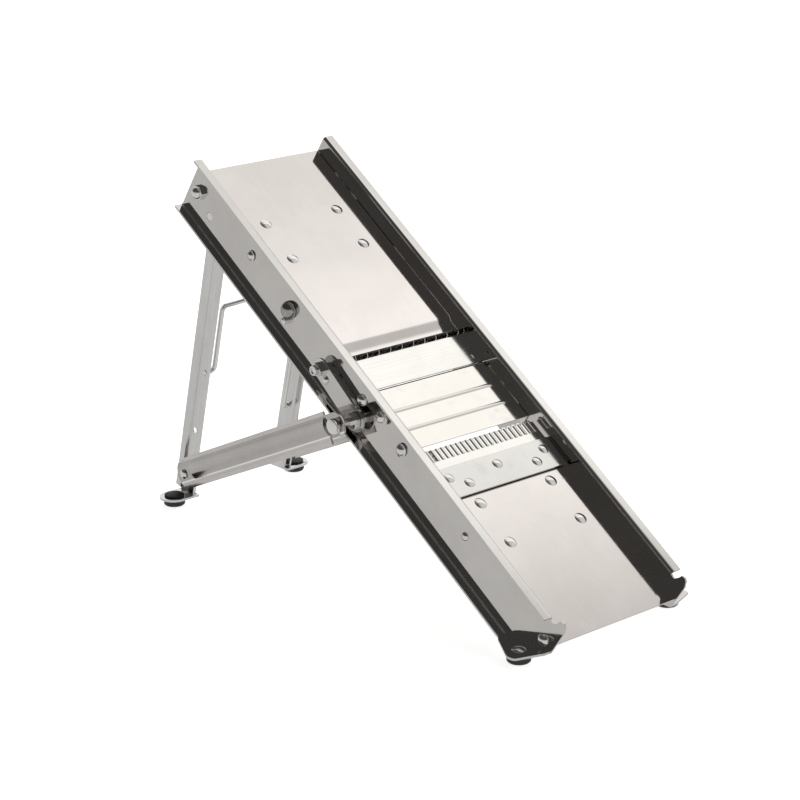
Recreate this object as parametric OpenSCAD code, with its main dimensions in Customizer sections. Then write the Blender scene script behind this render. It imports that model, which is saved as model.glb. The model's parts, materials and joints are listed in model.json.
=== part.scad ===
// Mandoline slicer on folding legs, standing on its four rubber feet.
// Body frame: x across the slicer, y up the slope from its lower end, z square to the deck.

/* [Body] */
// Length of the body along the slope
body_len = 412.7; // [380:0.1:450]
// Clear width between the two side rails
inner_w = 104; // [100:0.5:110]
// Slope of the deck when the slicer stands on its feet
slope = 34.2; // [33:0.1:35]
// Height of the deck line above the ground at the lower end
lower_end_h = 12.9; // [12.5:0.1:15]
// Sheet thickness of the side rails
rail_t = 1.5; // [1.2:0.1:1.8]
// Thickness of the deck plates
deck_t = 1.2; // [1:0.1:1.4]

/* [Rails] */
// Height of a rail above the deck
rail_up = 12.5; // [11:0.1:14]
// Depth of a rail below the deck
rail_down = 30.3; // [28:0.1:32]
// Width of each turned-out rail flange
flange_w = 6; // [5:0.1:6]
// Outer radius of the rail bends
bend_r = 2.5; // [2:0.1:3]

/* [Cutting zones] */
// Slope position of the lower edge of the upper deck
lip_u = 250; // [249:0.1:251]
// Slope position of the straight blade's edge
straight_edge_u = 233.3; // [233:0.1:233.5]
// Slope position of the straight blade's back edge
straight_back_u = 208.6; // [208.4:0.1:209]
// Slope position of the central table's lower edge
table_edge_u = 158; // [157.5:0.1:159]
// Slope position of the tips of the wavy blade
wavy_tip_u = 154.4; // [153:0.1:154.8]
// Slope position of the upper edge of the blade holder
holder_top_u = 137.5; // [136:0.1:139]
// Slope position of the lower edge of the blade holder
holder_low_u = 114.4; // [113:0.1:116]
// Number of waves in the wavy blade
wave_count = 23; // [21:2:23]
// Number of julienne knives
knife_count = 11; // [9:2:11]
// Spacing of the julienne knives
knife_pitch = 9.9; // [9:0.1:9.9]

/* [Legs] */
// Slope position of the leg pivot
leg_pivot_u = 385.6; // [384:0.1:387]
// Rearward tilt of the legs from upright
leg_tilt = 14.3; // [14:0.1:14.6]
// Width of a leg seen from the side
leg_w = 20; // [18:0.1:21]
// Half spacing of the legs, to their outer faces
leg_out = 44.5; // [44:0.1:45]
// Height of a strut seen from the side
strut_h = 22; // [20:0.1:24]
// Diameter of the wire brace between the legs
wire_d = 3.4; // [3.2:0.1:3.6]

/* [Hidden] */

$fn = 48;
SIDES = [-1, 1];

steel = "gainsboro";
bright_steel = "whitesmoke";
dark_steel = "darkgray";
rubber = [0.12, 0.12, 0.12];

// Gap round a pin that turns in its hole
fit = 0.05;
in_half = inner_w / 2;
web_out = in_half + rail_t;
flange_out = in_half + flange_w + rail_t;

// The body frame as a point of the ground frame
function ground_y(u, w) = u * cos(slope) - w * sin(slope);
function ground_z(u, w) = lower_end_h + u * sin(slope) + w * cos(slope);

// Rail ends
notch_u = 12;
notch_w = 10;
foot_flange_h = 6;
foot_x = 65;
foot_y = 18.7;
front_foot_r = 7.5;

// Lip of the upper deck: where it ends, its short slope, how far it falls, and its skirt
lip_end_u = 239.2;
lip_slope_run = 3.4;
lip_fall = 2;
lip_skirt = 11;

// Small countersunk and stop screws
screw_r = 1.5;
blade_screw_at = [45.5, 213.8];
bed_u = 212;
bed_len = 16;
bed_t = 2;

// Cross rods, as [slope position, height over the deck line]
top_rod = [402, -7.8];
low_rod = [8.3, -5.5];
mid_rod = [206.5, -4.7];
top_rod_r = 3;
low_rod_r = 2.5;
mid_rod_r = 2;
leg_rod = [leg_pivot_u, -15];
leg_rod_r = 3;

// Lever group on the left rail
lever_pin = [200.5, -15.5];
lever_bush_r = 4;
collar_r = 5.8;
collar_t = 3;
lever_collar_out = 3.2;
right_collar_out = 7;
lever_stud = [243, -12.5];
lever_rivet = [235.2, -14.8];
drive_pin_r = 2;
lever_in = web_out + 3.7;
lever_t = 1.5;

// Strut pins
pin_neck_r = 2.5;
pin_head_r = 5;
pin_head_in = 75;
pin_head_t = 4;

// Adjusting knob
knob_at = [290, -6.9];
knob_r = 6;
knob_shaft_r = 2.1;
cam_r = 3.45;
cam_offset = 1.8;

// Stop screw beside the knob
stop_at = [288.6, -15.6];
stop_r = 2.5;
stop_h = 3.6;

// Clamp bolts of the central table, guide and bracket screws
clamp_at = [162, -2.8];
clamp_r = 2;
clamp_slot_w = 4.6;
clamp_drop = 4.2;
guide_at = [338.4, -5];
guide_r = 1.8;
guide_slot_w = 4.2;
guide_drop = 2.4;
bracket_screw_at = [91, -5];
side_screw_at = [188, -1];

// Decks
table_top = -0.5;
table_t = 1;
table_back_u = 206.9;
table_rib_u = [189, 173.5];
table_rib_h = 0.4;
wavy_t = 1;
holder_t = 1.2;
rivet_v = 30.6;
upper_rivet_u = [324.7, 357.8];
lower_rivet_u = [74.8, 107];
bracket_len = 46;
bracket_t = 1.5;
bracket_depth = 10;

// Legs, feet and struts
leg_y = ground_y(leg_rod[0], leg_rod[1]);
leg_z = ground_z(leg_rod[0], leg_rod[1]);
leg_t = 1.2;
groove_depth = 1.8;
groove_half = 3.5;
groove_slope = 1.2;
leg_depth = leg_t + groove_depth;
foot_plate_z = 5;
foot_plate_t = 1.5;
rear_foot_x = 54.3;
rear_foot_y = 379.2;
rear_foot_r = 7;
strut_rear = [-1.2, -201.4];
strut_rear_y = leg_y + strut_rear[0] * cos(leg_tilt) - strut_rear[1] * sin(leg_tilt);
strut_rear_z = leg_z + strut_rear[0] * sin(leg_tilt) + strut_rear[1] * cos(leg_tilt);
pin_y = ground_y(lever_pin[0], lever_pin[1]);
pin_z = ground_z(lever_pin[0], lever_pin[1]);
strut_run = norm([strut_rear_y - pin_y, pin_z - strut_rear_z]);
strut_rise = atan2(pin_z - strut_rear_z, strut_rear_y - pin_y);
strut_in_rear = leg_out + 1.2;
strut_in_front = 72.2;
strut_skew = atan2(strut_in_front - strut_in_rear, strut_run);
strut_t = 1.5;
strut_pin_r = 2.5;

// Wire brace between the legs: x, y and z of its ends and corners in the leg's frame
wire_left_hole = [-6, -118];
wire_right_hole = [-0.5, -167];
wire_top_z = -68;
wire_end_x = leg_out + 0.5;
wire_gap = 0.4;

// The part's own origin is on the ground, under the middle of its box
box_front = -8.05;
box_back = 390.4;
set_back = -(box_front + box_back) / 2;

// Moves children from the body frame to the standing part
module in_body() {
    translate([0, set_back, lower_end_h]) rotate([slope, 0, 0]) children();
}

// Moves children from the ground frame to the standing part
module on_ground() {
    translate([0, set_back, 0]) children();
}

// Moves children from the leg's frame (z up the leg, y rearward) to the standing part
module on_leg() {
    translate([0, set_back + leg_y, leg_z]) rotate([leg_tilt, 0, 0]) children();
}

// Cylinder along x between two x positions, at a body point [slope position, height]
module rod_x(at, x0, x1, r) {
    translate([min(x0, x1), at[0], at[1]]) rotate([0, 90, 0]) cylinder(h = abs(x1 - x0), r = r);
}

// Low domed head along x, standing out from x0 towards side
module dome_x(at, x0, side, r, h) {
    translate([x0, at[0], at[1]]) rotate([0, side * 90, 0]) dome(r, h);
}

// Spherical cap of radius r and height h on the xy plane
module dome(r, h) {
    ball_r = (r * r + h * h) / (2 * h);
    rotate_extrude() intersection() {
        translate([0, h - ball_r]) circle(r = ball_r, $fn = 96);
        square([r, h]);
    }
}

// Plate in a body-frame plane of constant x, drawn as [y, z] and thickened along x
module side_plate(x0, x1) {
    translate([min(x0, x1), 0, 0]) rotate([90, 0, 90]) linear_extrude(abs(x1 - x0)) children();
}

// Rounded slot in a side plate: the path of a pin that drops by drop
module drop_slot(at, w, drop) {
    translate([at[0], at[1]]) circle(d = w);
    translate([at[0], at[1] - drop]) circle(d = w);
    translate([at[0] - w / 2, at[1] - drop]) square([w, drop]);
}

// Section of a rail with both flanges turned out, on the +x side
module rail_section() {
    web_h = rail_up + rail_down - 2 * bend_r;
    translate([in_half, bend_r - rail_down]) square([rail_t, web_h]);
    for (top = [0, 1]) {
        edge = top == 1 ? rail_up - rail_t : -rail_down;
        centre = top == 1 ? rail_up - bend_r : bend_r - rail_down;
        translate([in_half + bend_r, edge]) square([flange_out - in_half - bend_r, rail_t]);
        intersection() {
            translate([in_half + bend_r, centre]) difference() {
                circle(r = bend_r);
                circle(r = bend_r - rail_t);
            }
            translate([in_half, top == 1 ? centre : -rail_down]) square([bend_r, bend_r]);
        }
    }
}

// Outline of the lower end of a rail's web, with its upright ear
module rail_nose() {
    polygon([[0, -rail_down], [notch_u + 1, -rail_down], [notch_u + 1, notch_w], [8.5, notch_w],
             [6.5, 13.5], [5.5, 16.6], [3, 17.2], [1, 15.8], [-0.6, 12], [-0.6, -10], [0, -12]]);
}

module rail_foot_flange() {
    linear_extrude(rail_t) difference() {
        polygon([[in_half, 4], [web_out + 4, 4], [76, 10.5], [77, 12.5], [77, 16], [76, 18.5], [63, 39],
                 [60.5, 41.3], [in_half, 43]]);
        translate([foot_x, foot_y]) circle(r = 2.5);
    }
}

module rail() {
    difference() {
        union() {
            in_body() translate([0, body_len, 0]) rotate([90, 0, 0])
                linear_extrude(body_len - notch_u) rail_section();
            in_body() side_plate(in_half, web_out) rail_nose();
        }
        on_ground() translate([in_half - 1, -20, -30]) cube([20, 80, foot_flange_h + 30]);
        in_body() {
            rod_x(top_rod, in_half - 1, web_out + 1, top_rod_r);
            rod_x(low_rod, in_half - 1, web_out + 1, low_rod_r);
            rod_x(mid_rod, in_half - 1, web_out + 1, mid_rod_r);
            rod_x(leg_rod, in_half - 1, web_out + 1, leg_rod_r);
            rod_x(lever_pin, in_half - 1, web_out + 1, pin_neck_r);
            rod_x(bracket_screw_at, in_half - 1, web_out + 1, guide_r);
            rod_x(side_screw_at, in_half - 1, web_out + 1, guide_r);
            side_plate(in_half - 1, web_out + 1) drop_slot(clamp_at, clamp_slot_w, clamp_drop);
            side_plate(in_half - 1, web_out + 1) drop_slot(guide_at, guide_slot_w, guide_drop);
        }
    }
    on_ground() translate([0, 0, foot_flange_h]) rail_foot_flange();
}

module left_rail() {
    color(steel) difference() {
        mirror([1, 0, 0]) rail();
        in_body() {
            rod_x(knob_at, -web_out - 1, 1 - in_half, knob_shaft_r + fit);
            rod_x(stop_at, -web_out - 1, 1 - in_half, screw_r);
            translate([-web_out - 1, lever_rivet[0] - 4, lever_rivet[1] - 9]) cube([rail_t + 2, 8, 12.5]);
        }
    }
}

module right_rail() {
    color(steel) rail();
}

// Cross rods and their nuts and screws

module top_tie_rod() {
    color(bright_steel) in_body() rod_x(top_rod, -web_out - 2, web_out + 2, top_rod_r);
}

module top_acorn_nuts() {
    color(bright_steel) in_body() for (side = SIDES) {
        translate([side * web_out, top_rod[0], top_rod[1]]) rotate([0, side * 90, 0])
            acorn_nut(5.2, 2.6, 4.2);
    }
}

// Cap nut on the xy plane: hex part, then a dome, with a blind bore for the rod
module acorn_nut(hex_r, hex_h, dome_r) {
    difference() {
        union() {
            cylinder(h = hex_h, r = hex_r, $fn = 6);
            translate([0, 0, hex_h]) dome(dome_r, dome_r * 0.85);
        }
        translate([0, 0, -1]) cylinder(h = 3, r = top_rod_r);
    }
}

module lower_tie_rod() {
    color(bright_steel) in_body() rod_x(low_rod, -web_out, web_out, low_rod_r);
}

module lower_dome_nuts() {
    color(bright_steel) in_body() for (side = SIDES) dome_x(low_rod, side * web_out, side, 4.2, 3);
}

module leg_pivot_rod() {
    color(bright_steel) in_body() rod_x(leg_rod, -web_out, web_out, leg_rod_r);
}

module middle_cross_rod() {
    color(bright_steel) in_body() rod_x(mid_rod, -web_out, web_out, mid_rod_r);
}

module cross_rod_screws() {
    color(bright_steel) in_body() for (side = SIDES) dome_x(mid_rod, side * web_out, side, 4.3, 3.2);
}

// Straight blade on its bed

module blade_screw_holes() {
    for (side = SIDES) translate([side * blade_screw_at[0], blade_screw_at[1], -4])
        cylinder(h = 5, r = screw_r);
}

module blade_bed() {
    color(dark_steel) in_body() difference() {
        translate([-in_half, bed_u, -deck_t - bed_t]) cube([inner_w, bed_len, bed_t]);
        blade_screw_holes();
    }
}

module straight_blade() {
    bevel = 5;
    color(bright_steel) in_body() difference() {
        translate([-in_half, 0, 0]) rotate([90, 0, 90]) linear_extrude(inner_w)
            polygon([[straight_back_u, -deck_t], [straight_edge_u - bevel, -deck_t],
                     [straight_edge_u, -0.25], [straight_edge_u, -0.1], [straight_edge_u - 0.8, 0],
                     [straight_back_u, 0]]);
        blade_screw_holes();
    }
}

module straight_blade_screws() {
    depth = deck_t + bed_t;
    color(dark_steel) in_body() for (side = SIDES)
        translate([side * blade_screw_at[0], blade_screw_at[1], 0]) {
            translate([0, 0, -depth]) cylinder(h = depth, r = screw_r);
            dome(2.2, 0.6);
        }
}

// Lower deck with its bracket and rivets

module lower_deck() {
    color(steel) in_body() difference() {
        translate([-in_half, 0, -deck_t]) cube([inner_w, holder_top_u + 1, deck_t]);
        deck_holes(lower_rivet_u);
        for (place = holder_places()) translate([place[0], place[1], -3]) cylinder(h = 4, r = 1.8);
    }
}

module deck_holes(rows) {
    for (u = rows, side = SIDES) translate([side * rivet_v, u, -4]) cylinder(h = 5, r = 2);
}

// Cross bracket: a plate under the deck with a side flange down each rail
module deck_bracket(rows, screw, half, top) {
    mid = (rows[0] + rows[1]) / 2;
    difference() {
        union() {
            translate([-half, mid - bracket_len / 2, top - bracket_t])
                cube([2 * half, bracket_len, bracket_t]);
            for (side = SIDES) {
                edge = side * (half - bracket_t / 2);
                translate([edge - bracket_t / 2, mid - bracket_len / 2, top - bracket_depth])
                    cube([bracket_t, bracket_len, bracket_depth]);
            }
        }
        deck_holes(rows);
        rod_x(screw, -half - 1, half + 1, guide_r);
    }
}

module deck_rivets(rows) {
    for (u = rows, side = SIDES) translate([side * rivet_v, u, 0]) {
        translate([0, 0, -deck_t - bracket_t]) cylinder(h = deck_t + bracket_t, r = 2);
        dome(4.3, 1.2);
        translate([0, 0, -deck_t - bracket_t]) mirror([0, 0, 1]) dome(3.2, 1.2);
    }
}

module lower_deck_bracket() {
    color(dark_steel) in_body() deck_bracket(lower_rivet_u, bracket_screw_at, in_half, -deck_t);
}

module lower_deck_rivets() {
    color(bright_steel) in_body() deck_rivets(lower_rivet_u);
}

// Screw with a low round head, through a rail's web
module web_screw(at, side, head_r, head_h, r, depth) {
    rod_x(at, side * (web_out - rail_t - depth), side * web_out, r);
    dome_x(at, side * web_out, side, head_r, head_h);
}

module bracket_side_screws() {
    color(bright_steel) in_body() for (side = SIDES)
        web_screw(bracket_screw_at, side, 3, 1.8, guide_r, bracket_t);
}

module bed_side_screws() {
    color(bright_steel) in_body() for (side = SIDES) web_screw(side_screw_at, side, 3.9, 2.6, guide_r, 0);
}

module knob_stop_screw() {
    color(bright_steel) in_body() {
        rod_x(stop_at, -in_half, -web_out, screw_r);
        rod_x(stop_at, -web_out, -web_out - stop_h, stop_r);
        dome_x(stop_at, -web_out - stop_h, -1, stop_r - 0.3, 0.7);
    }
}

// Wavy blade, its holder and rivets

function holder_places() = [[-41, 129.5], [-29.3, 122.2], [0, 129.3], [29.3, 122.2], [41, 129.5]];

wave_pitch = 4.2;
wave_back = 2.2;
wave_start_u = 143.6;
wave_ridge_w = 4;
tooth_r = 1.95;
ridge_r = 1.9;
wave_len = wavy_tip_u - wave_start_u;
blade_half = 50;

module wavy_blade() {
    first = -(wave_count - 1) / 2 * wave_pitch;
    color(bright_steel) in_body() difference() {
        union() {
            translate([-blade_half, holder_low_u + 3, 0])
                cube([2 * blade_half, wavy_tip_u - wave_back - holder_low_u - 3, wavy_t]);
            for (i = [0 : wave_count - 1]) translate([first + i * wave_pitch, 0, 0]) {
                translate([0, wavy_tip_u - wave_back, 0]) cylinder(h = wavy_t, r = tooth_r, $fn = 24);
                intersection() {
                    translate([0, wavy_tip_u - 1.4, wavy_t - 1.3]) rotate([90, 0, 0])
                        cylinder(h = wave_len - 2, r = ridge_r, $fn = 24);
                    translate([-wave_ridge_w / 2, wave_start_u - 3.6, wavy_t - 0.2])
                        cube([wave_ridge_w, 15, 2]);
                }
            }
        }
        for (place = holder_places()) translate([place[0], place[1], -1]) cylinder(h = 4, r = 1.8);
    }
}

module blade_holder() {
    color(steel) in_body() difference() {
        translate([-blade_half, holder_low_u, wavy_t])
            cube([2 * blade_half, holder_top_u - holder_low_u, holder_t]);
        for (place = holder_places()) translate([place[0], place[1], 0]) cylinder(h = 4, r = 1.8);
    }
}

module holder_rivets() {
    top = wavy_t + holder_t;
    color(bright_steel) in_body() for (place = holder_places()) translate([place[0], place[1], 0]) {
        translate([0, 0, -deck_t]) cylinder(h = deck_t + top, r = 1.8);
        translate([0, 0, top]) dome(3.8, 1.1);
        translate([0, 0, -deck_t]) mirror([0, 0, 1]) dome(2.8, 1);
    }
}

// Strut pins on the rails

module strut_pin(side, collar_end) {
    rod_x(lever_pin, side * in_half, side * pin_head_in, pin_neck_r);
    rod_x(lever_pin, side * pin_head_in, side * (pin_head_in + pin_head_t - 1), pin_head_r);
    dome_x(lever_pin, side * (pin_head_in + pin_head_t - 1), side, pin_head_r, 1);
    rod_x(lever_pin, side * (collar_end - collar_t), side * collar_end, collar_r);
}

module left_strut_pin() {
    collar_end = lever_in + lever_t + lever_collar_out;
    color(bright_steel) in_body() {
        strut_pin(-1, collar_end);
        rod_x(lever_pin, -web_out, -collar_end, lever_bush_r);
    }
}

module right_strut_pin() {
    color(bright_steel) in_body() {
        strut_pin(1, web_out + right_collar_out);
        rod_x(lever_pin, web_out, web_out + right_collar_out, lever_bush_r);
    }
}

// Front feet

module front_foot_rivets() {
    color(bright_steel) on_ground() for (side = SIDES) translate([side * foot_x, foot_y, foot_flange_h]) {
        translate([0, 0, -2]) cylinder(h = rail_t + 2, r = 2.5);
        translate([0, 0, rail_t]) dome(4.6, 1.8);
    }
}

module front_rubber_feet() {
    color(rubber) on_ground() for (side = SIDES) translate([side * foot_x, foot_y, 0]) difference() {
        union() {
            cylinder(h = 1, r1 = front_foot_r - 1, r2 = front_foot_r, $fn = 48);
            translate([0, 0, 1]) cylinder(h = foot_flange_h - 1, r = front_foot_r);
        }
        translate([0, 0, foot_flange_h - 2]) cylinder(h = 3, r = 2.5);
    }
}

// Upper deck: turns on the top rod, its lip sets the depth of the straight cut

upper_half = in_half - 0.4;

module upper_deck() {
    ear_t = 1.2;
    ear_u = 392;
    ear_len = 19;
    ear_h = 13;
    color(steel) in_body() difference() {
        union() {
            translate([-upper_half, lip_u, -deck_t]) cube([2 * upper_half, body_len - lip_u, deck_t]);
            translate([-upper_half, 0, 0]) rotate([90, 0, 90]) linear_extrude(2 * upper_half) lip_section();
            for (side = SIDES) translate([side * (upper_half - ear_t / 2) - ear_t / 2, ear_u, -ear_h])
                cube([ear_t, ear_len, ear_h]);
        }
        deck_holes(upper_rivet_u);
        rod_x(top_rod, -in_half, in_half, top_rod_r + fit);
    }
}

// Lower lip of the upper deck: a short step down, a flat lip and a skirt into the throat
module lip_section() {
    step_u = lip_u - lip_slope_run;
    polygon([[lip_u, 0], [step_u, -lip_fall], [lip_end_u, -lip_fall], [lip_end_u, -lip_skirt],
             [lip_end_u + deck_t, -lip_skirt], [lip_end_u + deck_t, -lip_fall - deck_t],
             [step_u + deck_t / 2, -lip_fall - deck_t], [lip_u + deck_t / 2, -deck_t]]);
}

module upper_deck_bracket() {
    color(dark_steel) in_body() deck_bracket(upper_rivet_u, guide_at, upper_half, -deck_t);
}

module upper_deck_rivets() {
    color(bright_steel) in_body() deck_rivets(upper_rivet_u);
}

module guide_screws() {
    color(bright_steel) in_body() for (side = SIDES) {
        rod_x(guide_at, side * (upper_half - bracket_t), side * (web_out + 0.4), guide_r);
        rod_x(guide_at, side * (web_out + 0.3), side * (web_out + 1), 3.6);
        dome_x(guide_at, side * (web_out + 1), side, 3, 1.8);
    }
}

// Depth knob: its cam under the upper deck lowers the lip

module depth_knob() {
    color(bright_steel) in_body() {
        rod_x(knob_at, -web_out - 0.4, -in_half + 2.5, knob_shaft_r);
        dome_x(knob_at, -web_out - 0.3, -1, knob_r, knob_r);
        rod_x([knob_at[0], knob_at[1] + cam_offset], -in_half + 0.4, -in_half + 2.5, cam_r);
    }
}

// Julienne lever group

module julienne_lever() {
    pivot_r = 8;
    stud_r = 7;
    guard_u = 212;
    guard_len = 30;
    color(steel) in_body() difference() {
        union() {
            side_plate(-lever_in, -lever_in - lever_t) {
                translate(lever_pin) circle(r = pivot_r);
                translate(lever_stud) circle(r = stud_r);
                polygon([[lever_pin[0], lever_pin[1] - pivot_r], [lever_stud[0], lever_stud[1] - stud_r],
                         [lever_stud[0], lever_stud[1] + stud_r],
                         [lever_pin[0] + pivot_r / 2, lever_pin[1] + pivot_r * cos(30)]]);
            }
            translate([-lever_in, guard_u, lever_pin[1] + 7.1]) rotate([2.5, 0, 0])
                cube([lever_in - web_out - 0.5, guard_len, 1.2]);
        }
        rod_x(lever_pin, -lever_in - 3, -lever_in + 3, lever_bush_r + fit);
        rod_x(lever_rivet, -lever_in - 3, -lever_in + 3, drive_pin_r);
        rod_x(lever_stud, -lever_in - 3, -lever_in + 3, 1.9);
    }
}

module lever_handle_nut() {
    color(bright_steel) in_body() difference() {
        translate([-lever_in - lever_t, lever_stud[0], lever_stud[1]]) rotate([0, -90, 0]) union() {
            cylinder(h = 3.6, r = 4.6, $fn = 6);
            translate([0, 0, 3.6]) cylinder(h = 1.2, r = 3.6);
        }
        rod_x(lever_stud, -lever_in - 8, -lever_in, 1.9);
    }
}

module lever_handle_stud() {
    outer = lever_in + lever_t + 6.4;
    color(bright_steel) in_body() difference() {
        union() {
            rod_x(lever_stud, -lever_in + 1, -outer + 3, 1.9);
            rod_x(lever_stud, -lever_in - lever_t - 4.8, -outer, 3.3);
        }
        rod_x(lever_stud, -outer + 0.8, -outer - 1, 2);
    }
}

module lever_drive_pin() {
    color(bright_steel) in_body() {
        rod_x(lever_rivet, -lever_in - lever_t, -drive_pin_end, drive_pin_r);
        dome_x(lever_rivet, -lever_in - lever_t, -1, 3.2, 2);
    }
}

// Julienne knives on a carrier that turns on the middle rod

carrier_half = 51.3;
arm_t = 1.1;
arm_eye_r = 3.2;
arm_reach = 5.2;
arm_top_w = -6;
arm_low_w = -19;
bar_u = 233.5;
bar_w = -15;
bar_depth = 5;
bar_t = 2;
bar_lip_t = 1.5;
bar_lip_h = 7;
drive_pin_end = in_half - 1.9;
pin_fork_w = 5;

module julienne_carrier() {
    color(dark_steel) in_body() difference() {
        union() {
            for (side = SIDES) {
                edge = side * carrier_half;
                side_plate(edge, edge - side * arm_t) {
                    translate(mid_rod) circle(r = arm_eye_r);
                    polygon([[mid_rod[0] - 1, mid_rod[1] - 3], [mid_rod[0] + 3, mid_rod[1] + 0.4],
                             [bar_u + arm_reach, arm_top_w], [bar_u + arm_reach, arm_low_w],
                             [bar_u - 4, arm_low_w]]);
                }
            }
            translate([-carrier_half, bar_u, bar_w]) cube([2 * carrier_half, bar_depth, bar_t]);
            translate([-carrier_half, bar_u, bar_w]) cube([2 * carrier_half, bar_lip_t, bar_lip_h]);
        }
        rod_x(mid_rod, -in_half, in_half, mid_rod_r + fit);
        translate([-in_half, lever_rivet[0] - pin_fork_w / 2, lever_rivet[1] - pin_fork_w / 2])
            cube([in_half - drive_pin_end + 0.15, 10, pin_fork_w]);
    }
}

module julienne_knives() {
    knife_t = 0.7;
    first = -(knife_count - 1) / 2 * knife_pitch;
    color(bright_steel) in_body() for (i = [0 : knife_count - 1])
        side_plate(first + i * knife_pitch - knife_t / 2, first + i * knife_pitch + knife_t / 2)
            polygon([[bar_u + bar_lip_t, bar_w + bar_t], [bar_u + bar_depth, bar_w + bar_t],
                     [bar_u + bar_depth, -1.6], [bar_u + 3.6, 0.8], [bar_u + bar_lip_t, -0.9]]);
}

// Central table for the wavy cut, clamped by a bolt through each rail

module wavy_table() {
    half = in_half - 0.4;
    eye_half = carrier_half - arm_t - 0.4;
    ear_t = 1.3;
    ear_len = 12;
    ear_foot = -8;
    tongue_u = 202;
    color(bright_steel) in_body() difference() {
        union() {
            translate([-half, table_edge_u, table_top - table_t])
                cube([2 * half, tongue_u + 0.5 - table_edge_u, table_t]);
            translate([-eye_half, tongue_u, table_top - table_t])
                cube([2 * eye_half, table_back_u - tongue_u, table_t]);
            difference() {
                rod_x(mid_rod, -eye_half, eye_half, 3.4);
                translate([-in_half, mid_rod[0] - 5, table_top]) cube([inner_w, 10, 5]);
            }
            for (u = table_rib_u) table_rib(u, eye_half);
            for (side = SIDES) translate([side * (half - ear_t / 2) - ear_t / 2, table_edge_u, ear_foot])
                cube([ear_t, ear_len, table_top - ear_foot]);
        }
        rod_x(mid_rod, -in_half, in_half, mid_rod_r + fit);
        rod_x(clamp_at, -in_half, in_half, clamp_r);
    }
}

// Low rounded rib pressed across the table
module table_rib(u, half) {
    rib_r = 3.3;
    intersection() {
        translate([-half, u, table_top - rib_r + table_rib_h]) rotate([0, 90, 0])
            cylinder(h = 2 * half, r = rib_r);
        translate([-half, u - 4, table_top - 0.1]) cube([2 * half, 8, 2]);
    }
}

module table_clamp_bolts() {
    color(bright_steel) in_body() for (side = SIDES) {
        rod_x(clamp_at, side * (in_half - 1.7), side * (web_out + 0.4), clamp_r);
        rod_x(clamp_at, side * (web_out + 0.3), side * (web_out + 1.3), 4.4);
        dome_x(clamp_at, side * (web_out + 1.3), side, 3.8, 2.6);
    }
}

// Folding legs

// Outline of a leg's pressed strip: x is the depth from its outer face, y runs across it
module leg_strip() {
    edge = leg_w / 2;
    outer = groove_half + groove_slope;
    polygon([[0, -edge], [0, -outer], [groove_depth, -groove_half], [groove_depth, groove_half],
             [0, outer], [0, edge], [leg_t, edge], [leg_t, outer + 0.6],
             [leg_depth, groove_half + 0.6], [leg_depth, -groove_half - 0.6],
             [leg_t, -outer - 0.6], [leg_t, -edge]]);
}

module leg_hole(at, side, r) {
    rod_x(at, side * (leg_out + 1), side * (leg_out - leg_depth - 1), r);
}

module leg(side) {
    leg_len = 216;
    difference() {
        on_leg() difference() {
            intersection() {
                translate([side * leg_out, 0, -leg_len]) scale([-side, 1, 1])
                    linear_extrude(leg_len + leg_w) leg_strip();
                side_plate(side * (leg_out + 1), side * (leg_out - leg_depth - 1)) {
                    circle(r = leg_w / 2);
                    translate([-leg_w / 2, -leg_len]) square([leg_w, leg_len]);
                }
            }
            leg_hole([0, 0], side, leg_rod_r + fit);
            leg_hole(strut_rear, side, strut_pin_r);
            leg_hole(wire_left_hole, side, wire_d / 2 + wire_gap);
            leg_hole(wire_right_hole, side, wire_d / 2 + wire_gap);
        }
        below_foot_plate(foot_plate_z + foot_plate_t);
    }
}

// Everything under a height above the ground, round the rear feet
module below_foot_plate(height) {
    on_ground() translate([-80, rear_foot_y - 60, height - 40]) cube([160, 120, 40]);
}

module left_leg() {
    color(steel) leg(-1);
}

module right_leg() {
    color(steel) leg(1);
}

// Rear feet: a plate turned out under each leg, with a tab inside the leg
module rear_foot_brackets() {
    tab_out = leg_out - leg_depth;
    tab_t = 1.5;
    tab_w = 15;
    tab_h = 30;
    plate_r = 10.4;
    plate_in = tab_out - tab_t;
    color(steel) for (side = SIDES) difference() {
        union() {
            on_ground() translate([0, 0, foot_plate_z]) linear_extrude(foot_plate_t) {
                translate([side * rear_foot_x, rear_foot_y]) circle(r = plate_r);
                translate([side > 0 ? plate_in : -rear_foot_x, rear_foot_y - plate_r])
                    square([rear_foot_x - plate_in, 2 * plate_r]);
            }
            difference() {
                on_leg() translate([side > 0 ? plate_in : -tab_out, -tab_w / 2, strut_rear[1] - 18])
                    cube([tab_t, tab_w, tab_h]);
                below_foot_plate(foot_plate_z);
            }
        }
        on_ground() translate([side * rear_foot_x, rear_foot_y, 0]) cylinder(h = 20, r = 3);
        on_leg() rod_x(strut_rear, side * (tab_out + 1), side * (tab_out - 3), strut_pin_r);
    }
}

module rear_foot_rivets() {
    color(rubber) on_ground() for (side = SIDES) translate([side * rear_foot_x, rear_foot_y, 0]) {
        translate([0, 0, 2]) cylinder(h = foot_plate_z + foot_plate_t - 2, r = 3);
        translate([0, 0, foot_plate_z + foot_plate_t]) cylinder(h = 1.2, r = rear_foot_r);
        translate([0, 0, foot_plate_z + foot_plate_t + 1.2]) dome(rear_foot_r, 1.2);
    }
}

module rear_rubber_feet() {
    pad_r = rear_foot_r + 0.5;
    color(rubber) on_ground() for (side = SIDES)
        translate([side * rear_foot_x, rear_foot_y, 0]) difference() {
            union() {
                cylinder(h = 1, r1 = pad_r - 1, r2 = pad_r, $fn = 48);
                translate([0, 0, 1]) cylinder(h = foot_plate_z - 1, r = pad_r);
            }
            translate([0, 0, 2]) cylinder(h = 5, r = 3);
        }
}

// Struts from the legs' feet to the pins on the rails

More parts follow.
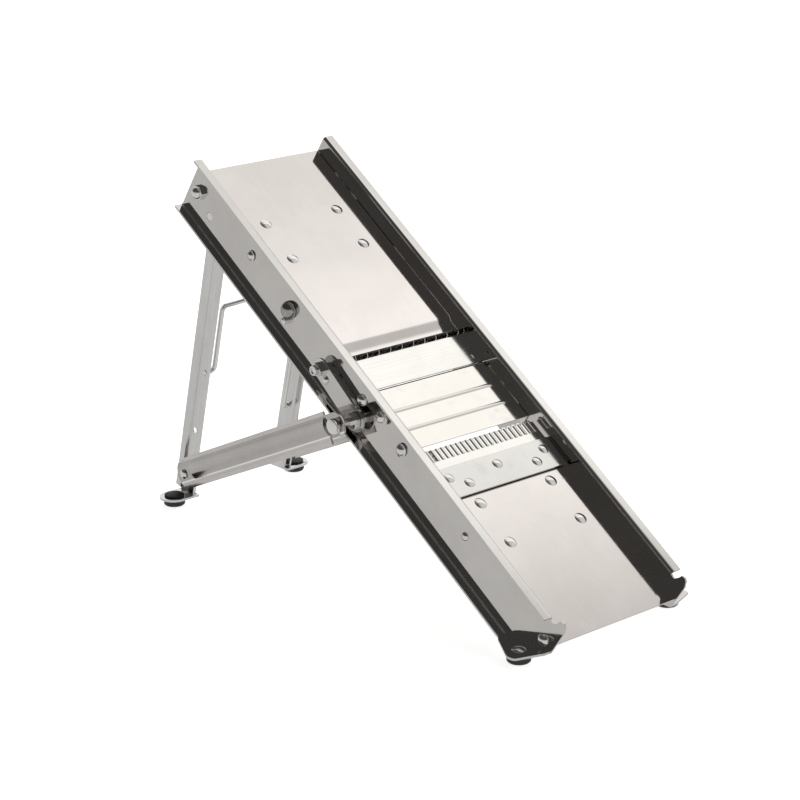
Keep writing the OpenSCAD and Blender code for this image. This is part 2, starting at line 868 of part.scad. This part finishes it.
// Moves children to a strut's frame: y back to the leg, x across, z square to the strut
module on_strut(side) {
    translate([side * strut_in_rear, set_back + strut_rear_y, strut_rear_z])
        rotate([-strut_rise, 0, 0]) rotate([0, 0, side * strut_skew]) children();
}

strut_len = strut_run / cos(strut_skew);
hook_r = 8.5;
hook_reach = 12;
hook_w = 6.6;
hook_lean = 26.5;

// Strut seen from the side: rounded rear end, straight sides and the hook for the rail pin
module strut_outline() {
    circle(r = strut_h / 2 - 1);
    translate([-strut_len, 0]) circle(r = hook_r);
    translate([-strut_len + hook_reach, -strut_h / 2]) square([strut_len - hook_reach - 4, strut_h]);
    translate([-strut_len, -2]) square([hook_reach + 10, hook_r + 2]);
}

// Raised rib along a strut, part of a cylinder with a rounded rear end
module strut_rib(side, front_y, rear_y) {
    rib_half = 6.5;
    rib_out = 2.6;
    rib_r = (rib_half * rib_half + rib_out * rib_out) / (2 * rib_out);
    axis_x = side * (strut_t + rib_out - rib_r);
    intersection() {
        translate([axis_x, 0, 1]) {
            translate([0, rear_y, 0]) rotate([90, 0, 0]) cylinder(h = rear_y - front_y, r = rib_r);
            translate([0, rear_y, 0]) sphere(r = rib_r);
        }
        translate([side > 0 ? strut_t : -strut_t - 2 * rib_r, front_y, -rib_r])
            cube([2 * rib_r, rear_y - front_y + 2 * rib_r, 3 * rib_r]);
    }
}

module strut(side) {
    difference() {
        union() {
            on_strut(side) side_plate(0, side * strut_t) strut_outline();
            on_strut(side) strut_rib(side, -strut_len + hook_reach, -16);
        }
        on_strut(side) translate([side * strut_t / 2, 0, 0]) {
            translate([-10, -strut_len, 0]) rotate([0, 90, 0]) cylinder(h = 20, r = hook_w / 2);
            translate([-10, -strut_len, 0]) rotate([hook_lean, 0, 0]) translate([0, -hook_w / 2, -20])
                cube([20, hook_w, 20]);
        }
        on_leg() rod_x(strut_rear, side * (leg_out - 1), side * (leg_out + 20), strut_pin_r + fit);
    }
}

module left_strut() {
    color(steel) strut(-1);
}

module right_strut() {
    color(steel) strut(1);
}

module strut_pivot_pins() {
    tab_in = leg_out - leg_depth - 1.5;
    color(bright_steel) on_leg() for (side = SIDES) {
        rod_x(strut_rear, side * tab_in, side * (leg_out + 3.6), strut_pin_r);
        dome_x(strut_rear, side * (leg_out + 3.6), side, 3.6, 1.4);
        dome_x(strut_rear, side * tab_in, -side, 3.4, 1.2);
    }
}

// Bent wire that ties the two legs together
module leg_wire() {
    wire_r = wire_d / 2;
    turn_r = 4;
    half = leg_out - 8;
    twist = atan2(wire_right_hole[0] - wire_left_hole[0], 2 * leg_out);
    middle_y = (wire_left_hole[0] + wire_right_hole[0]) / 2;
    color(bright_steel) on_leg() translate([0, middle_y, 0]) rotate([0, 0, twist]) {
        for (side = SIDES) {
            low_z = side > 0 ? wire_right_hole[1] : wire_left_hole[1];
            translate([side * half, 0, low_z + turn_r])
                cylinder(h = wire_top_z - low_z - 2 * turn_r, r = wire_r);
            translate([side * (half + turn_r), 0, low_z]) rotate([0, side * 90, 0])
                cylinder(h = wire_end_x - half - turn_r, r = wire_r);
            wire_turn(side * (half + turn_r), low_z + turn_r, turn_r, side > 0 ? 180 : 270);
            wire_turn(side * (half - turn_r), wire_top_z - turn_r, turn_r, side > 0 ? 0 : 90);
        }
        translate([turn_r - half, 0, wire_top_z]) rotate([0, 90, 0])
            cylinder(h = 2 * (half - turn_r), r = wire_r);
    }
}

// Quarter turn of wire in the xz plane about [x, z]
module wire_turn(x, z, turn_r, from) {
    translate([x, 0, z]) rotate([90, 0, 0]) rotate([0, 0, from]) rotate_extrude(angle = 90)
        translate([turn_r, 0]) circle(r = wire_d / 2);
}

left_rail();
right_rail();
top_tie_rod();
top_acorn_nuts();
lower_tie_rod();
lower_dome_nuts();
leg_pivot_rod();
middle_cross_rod();
cross_rod_screws();
blade_bed();
straight_blade();
straight_blade_screws();
lower_deck();
lower_deck_bracket();
lower_deck_rivets();
bracket_side_screws();
wavy_blade();
blade_holder();
holder_rivets();
bed_side_screws();
knob_stop_screw();
left_strut_pin();
right_strut_pin();
front_foot_rivets();
front_rubber_feet();
upper_deck();
upper_deck_bracket();
upper_deck_rivets();
guide_screws();
depth_knob();
julienne_lever();
lever_handle_nut();
lever_handle_stud();
lever_drive_pin();
julienne_carrier();
julienne_knives();
wavy_table();
table_clamp_bolts();
left_leg();
right_leg();
rear_foot_brackets();
rear_foot_rivets();
rear_rubber_feet();
left_strut();
right_strut();
strut_pivot_pins();
leg_wire();
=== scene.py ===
"""Looks of the mandoline slicer: finished metal over the CAD frame, studio light and camera."""

import json
import math

import bmesh
import bpy
from mathutils import Matrix, Vector


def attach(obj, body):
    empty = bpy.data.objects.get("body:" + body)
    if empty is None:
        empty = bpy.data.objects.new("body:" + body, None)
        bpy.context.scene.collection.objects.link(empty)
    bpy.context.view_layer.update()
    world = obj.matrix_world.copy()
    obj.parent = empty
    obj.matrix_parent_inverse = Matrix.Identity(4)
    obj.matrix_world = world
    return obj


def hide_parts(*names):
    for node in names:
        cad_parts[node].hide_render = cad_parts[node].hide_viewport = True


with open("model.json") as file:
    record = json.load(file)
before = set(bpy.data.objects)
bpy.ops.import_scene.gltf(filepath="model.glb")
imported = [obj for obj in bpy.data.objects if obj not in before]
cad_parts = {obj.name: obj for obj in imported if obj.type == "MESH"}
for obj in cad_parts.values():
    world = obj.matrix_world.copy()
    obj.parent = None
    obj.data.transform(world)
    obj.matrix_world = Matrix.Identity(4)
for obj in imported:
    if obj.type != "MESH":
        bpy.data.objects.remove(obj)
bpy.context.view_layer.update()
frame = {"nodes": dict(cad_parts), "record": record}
NODES = frame["nodes"]
BODY_OF = {}
for joint_body, members in frame["record"]["behaviour"]["bodies"].items():
    for member in members:
        BODY_OF[member] = joint_body

MM = 0.001
# Slope of the deck and tilt of the legs, which the grain of each piece follows
SLOPE = math.radians(34.2)
LEG_ANGLE = math.radians(14.3)
# How far the part's origin lies behind the lower end of the body
SET_BACK = -191.175 * MM
# The strut's line, from its rear pin up to the pin on the rail, as [y, z] in millimetres
STRUT_REAR = (375.94, 21.78)
STRUT_RISE = math.atan2(91.0, 201.4)
STRUT_GRAIN = math.radians(-20)


# ---------------------------------------------------------------- shader helpers

def new_material(name):
    mat = bpy.data.materials.new(name)
    mat.use_nodes = True
    tree = mat.node_tree
    tree.nodes.clear()
    out = tree.nodes.new("ShaderNodeOutputMaterial")
    shader = tree.nodes.new("ShaderNodeBsdfPrincipled")
    tree.links.new(shader.outputs["BSDF"], out.inputs["Surface"])
    return mat, tree, shader


def coords(tree, angle=0.0, scale=(1, 1, 1)):
    """Object coordinates turned to lie along a piece, then stretched."""
    tex = tree.nodes.new("ShaderNodeTexCoord")
    turn = tree.nodes.new("ShaderNodeMapping")
    turn.inputs["Rotation"].default_value = (-angle, 0, 0)
    tree.links.new(tex.outputs["Object"], turn.inputs["Vector"])
    stretch = tree.nodes.new("ShaderNodeMapping")
    stretch.inputs["Scale"].default_value = scale
    tree.links.new(turn.outputs["Vector"], stretch.inputs["Vector"])
    return stretch.outputs["Vector"]


def noise(tree, vector, scale, detail=3.0, rough=0.5, distortion=0.0):
    node = tree.nodes.new("ShaderNodeTexNoise")
    node.inputs["Scale"].default_value = scale
    node.inputs["Detail"].default_value = detail
    node.inputs["Roughness"].default_value = rough
    node.inputs["Distortion"].default_value = distortion
    tree.links.new(vector, node.inputs["Vector"])
    return node.outputs["Fac"]


def span(tree, value, low, high, to_low, to_high):
    node = tree.nodes.new("ShaderNodeMapRange")
    node.interpolation_type = "SMOOTHSTEP"
    for key, number in (("From Min", low), ("From Max", high), ("To Min", to_low), ("To Max", to_high)):
        node.inputs[key].default_value = number
    tree.links.new(value, node.inputs["Value"])
    return node.outputs["Result"]


def combine(tree, kind, first, second):
    node = tree.nodes.new("ShaderNodeMath")
    node.operation = kind
    for place, item in enumerate((first, second)):
        if isinstance(item, (int, float)):
            node.inputs[place].default_value = item
        else:
            tree.links.new(item, node.inputs[place])
    return node.outputs["Value"]


def colour_mix(tree, factor, low, high):
    node = tree.nodes.new("ShaderNodeMix")
    node.data_type = "RGBA"
    node.inputs["A"].default_value = (*low, 1)
    node.inputs["B"].default_value = (*high, 1)
    tree.links.new(factor, node.inputs["Factor"])
    return node.outputs["Result"]


def bump(tree, height, strength, distance, normal=None):
    node = tree.nodes.new("ShaderNodeBump")
    node.inputs["Strength"].default_value = strength
    node.inputs["Distance"].default_value = distance
    tree.links.new(height, node.inputs["Height"])
    if normal is not None:
        tree.links.new(normal, node.inputs["Normal"])
    return node.outputs["Normal"]


def steel(name, light, dark, rough, angle=0.0, grain=(900, 18, 900), wave=0.0, smudge=0.06,
          grain_depth=0.00002, line_share=0.45):
    """Polished or satin stainless steel: buffing lines, soft smudges, fine scratches, slow unevenness."""
    mat, tree, shader = new_material(name)
    shader.inputs["Metallic"].default_value = 1.0
    lines = noise(tree, coords(tree, angle, grain), 1.0, 4.0, 0.6)
    clouds = noise(tree, coords(tree, angle), 22.0, 5.0, 0.62, 0.4)
    prints = noise(tree, coords(tree, angle), 75.0, 3.0, 0.55, 1.2)
    scratches = noise(tree, coords(tree, angle, (140, 5, 140)), 1.0, 2.0, 0.5)
    stain = span(tree, prints, 0.55, 0.78, 0.0, 1.0)
    scratch = span(tree, scratches, 0.66, 0.74, 0.0, 1.0)
    tone = combine(tree, "ADD", combine(tree, "MULTIPLY", lines, line_share),
                   combine(tree, "MULTIPLY", clouds, 1.0 - line_share))
    tree.links.new(colour_mix(tree, span(tree, tone, 0.32, 0.68, 0.0, 1.0), dark, light),
                   shader.inputs["Base Color"])
    base = combine(tree, "ADD", span(tree, clouds, 0.3, 0.72, rough, rough + smudge * 0.5),
                   span(tree, lines, 0.35, 0.7, 0.0, smudge * 0.4))
    worn = combine(tree, "ADD", combine(tree, "MULTIPLY", stain, smudge),
                   combine(tree, "MULTIPLY", scratch, smudge * 0.8))
    tree.links.new(combine(tree, "ADD", base, worn), shader.inputs["Roughness"])
    normal = bump(tree, lines, 0.12 + 0.5 * line_share, grain_depth)
    if wave:
        slow = noise(tree, coords(tree, angle, (1, 0.55, 1)), 9.0, 1.5, 0.4)
        normal = bump(tree, slow, 1.0, wave, normal)
    tree.links.new(normal, shader.inputs["Normal"])
    return mat


def rubber(name, dark, light):
    mat, tree, shader = new_material(name)
    clouds = noise(tree, coords(tree), 260.0, 4.0, 0.6)
    pores = noise(tree, coords(tree), 1900.0, 3.0, 0.6)
    tree.links.new(colour_mix(tree, span(tree, clouds, 0.35, 0.7, 0, 1), dark, light),
                   shader.inputs["Base Color"])
    tree.links.new(span(tree, clouds, 0.3, 0.7, 0.42, 0.62), shader.inputs["Roughness"])
    shader.inputs["Specular IOR Level"].default_value = 0.42
    tree.links.new(bump(tree, pores, 0.35, 0.00006), shader.inputs["Normal"])
    return mat


MATS = {
    "deck": steel("deck_polish", (0.735, 0.70, 0.68), (0.69, 0.655, 0.63), 0.060, SLOPE,
                  (520, 9, 520), wave=0.00010, smudge=0.05, grain_depth=0.00001, line_share=0.14),
    "plate": steel("plate_polish", (0.80, 0.78, 0.745), (0.75, 0.73, 0.69), 0.085, SLOPE,
                   (700, 14, 700), wave=0.00006, smudge=0.07, grain_depth=0.00001, line_share=0.14),
    "rail": steel("rail_polish", (0.685, 0.67, 0.65), (0.635, 0.62, 0.60), 0.045, SLOPE,
                  (520, 8, 520), wave=0.00005, smudge=0.05, grain_depth=0.00001, line_share=0.12),
    "leg": steel("leg_satin", (0.80, 0.80, 0.795), (0.68, 0.68, 0.675), 0.16, LEG_ANGLE,
                 (900, 900, 20), smudge=0.08, grain_depth=0.00004),
    "strut": steel("strut_satin_painted_light", (0.72, 0.70, 0.68), (0.64, 0.62, 0.60), 0.13, STRUT_GRAIN,
                   (900, 18, 900), smudge=0.08, grain_depth=0.00004),
    "lever": steel("lever_satin", (0.70, 0.69, 0.675), (0.62, 0.61, 0.60), 0.10, SLOPE,
                   (700, 14, 700), smudge=0.08, grain_depth=0.00002, line_share=0.2),
    "blade": steel("blade_ground", (0.84, 0.83, 0.80), (0.74, 0.73, 0.705), 0.11, SLOPE,
                   (12, 900, 900), smudge=0.05, grain_depth=0.00003),
    "knife": steel("knife_ground", (0.80, 0.80, 0.79), (0.62, 0.62, 0.61), 0.12, SLOPE,
                   (900, 900, 30), smudge=0.05),
    "bright": steel("bright_heads", (0.86, 0.855, 0.84), (0.78, 0.775, 0.76), 0.06, 0.0,
                    (900, 900, 900), smudge=0.06),
    "holder": steel("holder_satin", (0.70, 0.695, 0.665), (0.63, 0.625, 0.60), 0.12, SLOPE,
                    (14, 700, 700), smudge=0.07, grain_depth=0.00002, line_share=0.2),
    # The knob's darker colour is painted shade, standing in for the dark reflections on its dome.
    "knob": steel("knob_turned_painted_shade", (0.52, 0.51, 0.50), (0.36, 0.355, 0.35), 0.09, 0.0,
                  (900, 300, 300), smudge=0.08),
    "dark": steel("shop_steel", (0.50, 0.50, 0.495), (0.36, 0.36, 0.355), 0.22, SLOPE,
                  (600, 30, 600), smudge=0.10, grain_depth=0.00005),
    "rubber": rubber("moulded_rubber", (0.010, 0.010, 0.011), (0.028, 0.028, 0.030)),
}


def painted_strut_light(mat, painted_bands):
    """Painted light along a strut, set by the distance from its centre line: bands of painted shade and
    painted highlight, (centre, half width, edge, tone) each.
    """
    tree = mat.node_tree
    shader = next(node for node in tree.nodes if node.type == "BSDF_PRINCIPLED")
    colour = shader.inputs["Base Color"].links[0].from_socket
    across = Vector((0, math.sin(STRUT_RISE), math.cos(STRUT_RISE)))
    origin = Vector((0, STRUT_REAR[0] * MM + SET_BACK, STRUT_REAR[1] * MM))
    dot = tree.nodes.new("ShaderNodeVectorMath")
    dot.operation = "DOT_PRODUCT"
    tree.links.new(coords(tree), dot.inputs[0])
    dot.inputs[1].default_value = across
    height = combine(tree, "SUBTRACT", dot.outputs["Value"], across.dot(origin))
    tone = 1.0
    for centre, half, edge, level in painted_bands:
        off = combine(tree, "ABSOLUTE", combine(tree, "SUBTRACT", height, centre * MM), 0.0)
        painted_band = span(tree, off, (half - edge) * MM, (half + edge) * MM, level, 1.0)
        tone = combine(tree, "MULTIPLY", tone, painted_band)
    scale = tree.nodes.new("ShaderNodeVectorMath")
    scale.operation = "SCALE"
    tree.links.new(colour, scale.inputs[0])
    tree.links.new(tone, scale.inputs["Scale"])
    tree.links.new(scale.outputs["Vector"], shader.inputs["Base Color"])


# The strut's bands are painted light. The darker band over the rib and the thin dark lines are painted
# shade. The lighter band and the bright line at the lower crease are painted highlight.
painted_strut_light(MATS["strut"], ((1.2, 6.2, 0.5, 0.74), (2.6, 2.6, 2.4, 1.12), (-5.6, 0.35, 0.25, 1.75),
                       (7.9, 0.3, 0.25, 0.62), (-7.6, 0.25, 0.5, 0.85)))

LOOK = {}
for look, names in {
    "deck": "upper_deck lower_deck",
    "plate": "wavy_table",
    "holder": "blade_holder",
    "knob": "depth_knob",
    "rail": "left_rail right_rail",
    "leg": "left_leg right_leg rear_foot_brackets",
    "strut": "left_strut right_strut",
    "lever": "julienne_lever",
    "blade": "straight_blade wavy_blade",
    "knife": "julienne_knives",
    "dark": "blade_bed julienne_carrier straight_blade_screws upper_deck_bracket lower_deck_bracket",
    "rubber": "front_rubber_feet rear_rubber_feet rear_foot_rivets",
}.items():
    for name in names.split():
        LOOK[name] = look


# ---------------------------------------------------------------- finished pieces

WELD = 1e-6
FLAT_ANGLE = math.radians(0.4)
EDGE_ANGLE = math.radians(32)
EDGE_STEPS = 2
EDGE_WIDTH = 0.25
WIDER_EDGES = {"left_rail": 0.45, "right_rail": 0.45}
FULL_WEIGHT = 100


def finished(node):
    """The node's own shape with its coplanar facets joined and its edges broken."""
    source = NODES[node]
    mesh = source.data.copy()
    mesh.name = node + "_finished"
    bm = bmesh.new()
    bm.from_mesh(mesh)
    bmesh.ops.remove_doubles(bm, verts=bm.verts, dist=WELD)
    bmesh.ops.dissolve_limit(bm, angle_limit=FLAT_ANGLE, verts=bm.verts, edges=bm.edges,
                             delimit={"NORMAL"})
    for face in bm.faces:
        face.smooth = True
    bm.to_mesh(mesh)
    bm.free()
    obj = bpy.data.objects.new(node + "_finished", mesh)
    bpy.context.scene.collection.objects.link(obj)
    mesh.materials.clear()
    edge = obj.modifiers.new("edge", "BEVEL")
    edge.width = WIDER_EDGES.get(node, EDGE_WIDTH) * MM
    edge.segments = EDGE_STEPS
    edge.limit_method = "ANGLE"
    edge.angle_limit = EDGE_ANGLE
    edge.use_clamp_overlap = True
    edge.miter_outer = "MITER_ARC"
    even = obj.modifiers.new("even", "WEIGHTED_NORMAL")
    even.mode = "FACE_AREA"
    even.weight = FULL_WEIGHT
    even.keep_sharp = False
    depsgraph = bpy.context.evaluated_depsgraph_get()
    final = bpy.data.meshes.new_from_object(obj.evaluated_get(depsgraph))
    final.name = node + "_finished"
    obj.modifiers.clear()
    obj.data = final
    obj.data.materials.append(MATS[LOOK.get(node, "bright")])
    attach(obj, BODY_OF[node])
    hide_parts(node)


for cad_node in NODES:
    finished(cad_node)

# ---------------------------------------------------------------- studio

WARM_WHITE = (1.0, 0.985, 0.965, 1)
FLOOR_GLOW = 0.82
SWEEP_GLOW = 0.50
HALF_FLOOR = 6
FLOOR_DROP = 0.3 * MM
SWEEP_DROP = 1.0 * MM


def floor_sheet(name, drop):
    """A large level square, just under the feet."""
    mesh = bpy.data.meshes.new(name)
    corners = [(-HALF_FLOOR, -HALF_FLOOR, 0), (HALF_FLOOR, -HALF_FLOOR, 0),
               (HALF_FLOOR, HALF_FLOOR, 0), (-HALF_FLOOR, HALF_FLOOR, 0)]
    mesh.from_pydata(corners, [], [(0, 1, 2, 3)])
    sheet = bpy.data.objects.new(name, mesh)
    bpy.context.scene.collection.objects.link(sheet)
    sheet.location.z = -drop
    return sheet


# The floor the camera sees, and the grey sweep that only the metal reflects
floor = floor_sheet("floor", FLOOR_DROP)
mat, tree, shader = new_material("floor_white")
shader.inputs["Base Color"].default_value = (0.9, 0.9, 0.9, 1)
shader.inputs["Roughness"].default_value = 0.9
shader.inputs["Specular IOR Level"].default_value = 0.0
shader.inputs["Emission Color"].default_value = (1, 1, 1, 1)
shader.inputs["Emission Strength"].default_value = FLOOR_GLOW
floor.data.materials.append(mat)
floor.visible_glossy = False

sweep = floor_sheet("grey_sweep", SWEEP_DROP)
mat, tree, shader = new_material("sweep_grey")
shader.inputs["Base Color"].default_value = (0.1, 0.1, 0.1, 1)
shader.inputs["Emission Color"].default_value = WARM_WHITE
shader.inputs["Emission Strength"].default_value = SWEEP_GLOW
sweep.data.materials.append(mat)
sweep.visible_camera = False
sweep.visible_diffuse = False
sweep.visible_shadow = False

# Light by direction: a large soft box to the right, a dim room above, an even glow low down
BOX_GLOW = 1.25
ROOM_GLOW = 0.07
LOW_GLOW = 0.55

world = bpy.data.worlds.new("studio")
bpy.context.scene.world = world
world.use_nodes = True
tree = world.node_tree
tree.nodes.clear()
out = tree.nodes.new("ShaderNodeOutputWorld")
back = tree.nodes.new("ShaderNodeBackground")
tree.links.new(back.outputs["Background"], out.inputs["Surface"])
tex = tree.nodes.new("ShaderNodeTexCoord")
split = tree.nodes.new("ShaderNodeSeparateXYZ")
tree.links.new(tex.outputs["Generated"], split.inputs["Vector"])
side = span(tree, split.outputs["X"], -0.15, 0.42, 0.0, 1.0)
fall = span(tree, split.outputs["Y"], -0.16, -0.04, 0.50, 1.0)
far = span(tree, split.outputs["Y"], -0.03, 0.10, 1.0, 0.74)
box_light = combine(tree, "MULTIPLY", combine(tree, "MULTIPLY", fall, far), BOX_GLOW)
high = combine(tree, "ADD", combine(tree, "MULTIPLY", side, box_light), ROOM_GLOW)
level = span(tree, split.outputs["Z"], 0.08, 0.30, 0.0, 1.0)
mix = tree.nodes.new("ShaderNodeMix")
mix.data_type = "FLOAT"
mix.inputs["A"].default_value = LOW_GLOW
tree.links.new(high, mix.inputs["B"])
tree.links.new(level, mix.inputs["Factor"])
back.inputs["Color"].default_value = WARM_WHITE
tree.links.new(mix.outputs["Result"], back.inputs["Strength"])

LAMP_SIDE = 1.2
LAMP_WATTS = 14
LAMP_AT = (1.3, -0.2, 1.7)
LAMP_AIM = (0, 0, 0.1)

lamp_data = bpy.data.lights.new("soft_box", "AREA")
lamp_data.shape = "RECTANGLE"
lamp_data.size = LAMP_SIDE
lamp_data.size_y = LAMP_SIDE
lamp_data.energy = LAMP_WATTS
lamp = bpy.data.objects.new("soft_box", lamp_data)
bpy.context.scene.collection.objects.link(lamp)
lamp.location = LAMP_AT
lamp.rotation_euler = (Vector(LAMP_AIM) - lamp.location).to_track_quat("-Z", "Y").to_euler()
lamp.visible_glossy = False

CAM_LENS = 107.9
CAM_SENSOR = 36
CAM_NEAR = 0.05
CAM_AT = (-0.98572, -0.92592 + SET_BACK, 0.58575)
CAM_AZ = math.radians(-41.25)
CAM_EL = math.radians(17.73)
CAM_ROLL = math.radians(-0.58)

camera_data = bpy.data.cameras.new("camera")
camera_data.lens = CAM_LENS
camera_data.sensor_width = CAM_SENSOR
camera_data.clip_start = CAM_NEAR
camera = bpy.data.objects.new("camera", camera_data)
bpy.context.scene.collection.objects.link(camera)
camera.location = CAM_AT
toward = -Vector((math.sin(CAM_AZ) * math.cos(CAM_EL), -math.cos(CAM_AZ) * math.cos(CAM_EL),
                  math.sin(CAM_EL)))
turn = toward.to_track_quat("-Z", "Y").to_matrix() @ Matrix.Rotation(CAM_ROLL, 3, "Z")
camera.rotation_euler = turn.to_euler()
bpy.context.scene.camera = camera
bpy.context.scene.view_settings.view_transform = "Standard"
